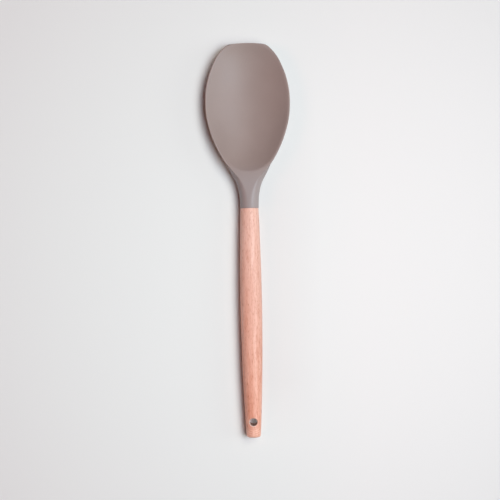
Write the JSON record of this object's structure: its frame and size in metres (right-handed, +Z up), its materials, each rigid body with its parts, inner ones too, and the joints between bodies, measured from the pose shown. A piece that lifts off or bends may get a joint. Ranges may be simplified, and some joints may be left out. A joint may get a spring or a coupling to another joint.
{
  "type": "silicone spoon spatula",
  "caption": "Spoon-shaped silicone spatula: a shallow bowl with a thin rim and a straight tip, moulded over a stiff core, on a turned wooden handle with a hanging hole.",
  "frame": {"origin": "On the table, under the middle of the tool as seen from above, with the tool lying bowl up on its handle's belly and on the keel of its blade.", "axes": "+Y runs along the tool to the tip of the head, +X across it, and +Z up out of the open bowl. The hanging hole runs along Z."},
  "size_m": [0.0654, 0.305, 0.0167],
  "materials": {
    "beech": "bare, fine-sanded, satin",
    "silicone": "satin, warm taupe grey",
    "nylon": "matt, as moulded",
    "glue": "cured, matt"
  },
  "bodies": {
    "root": {"handle": "beech", "silicone_head": "silicone", "nylon_core": "nylon", "glue_bond": "glue"}
  },
  "joints": []
}
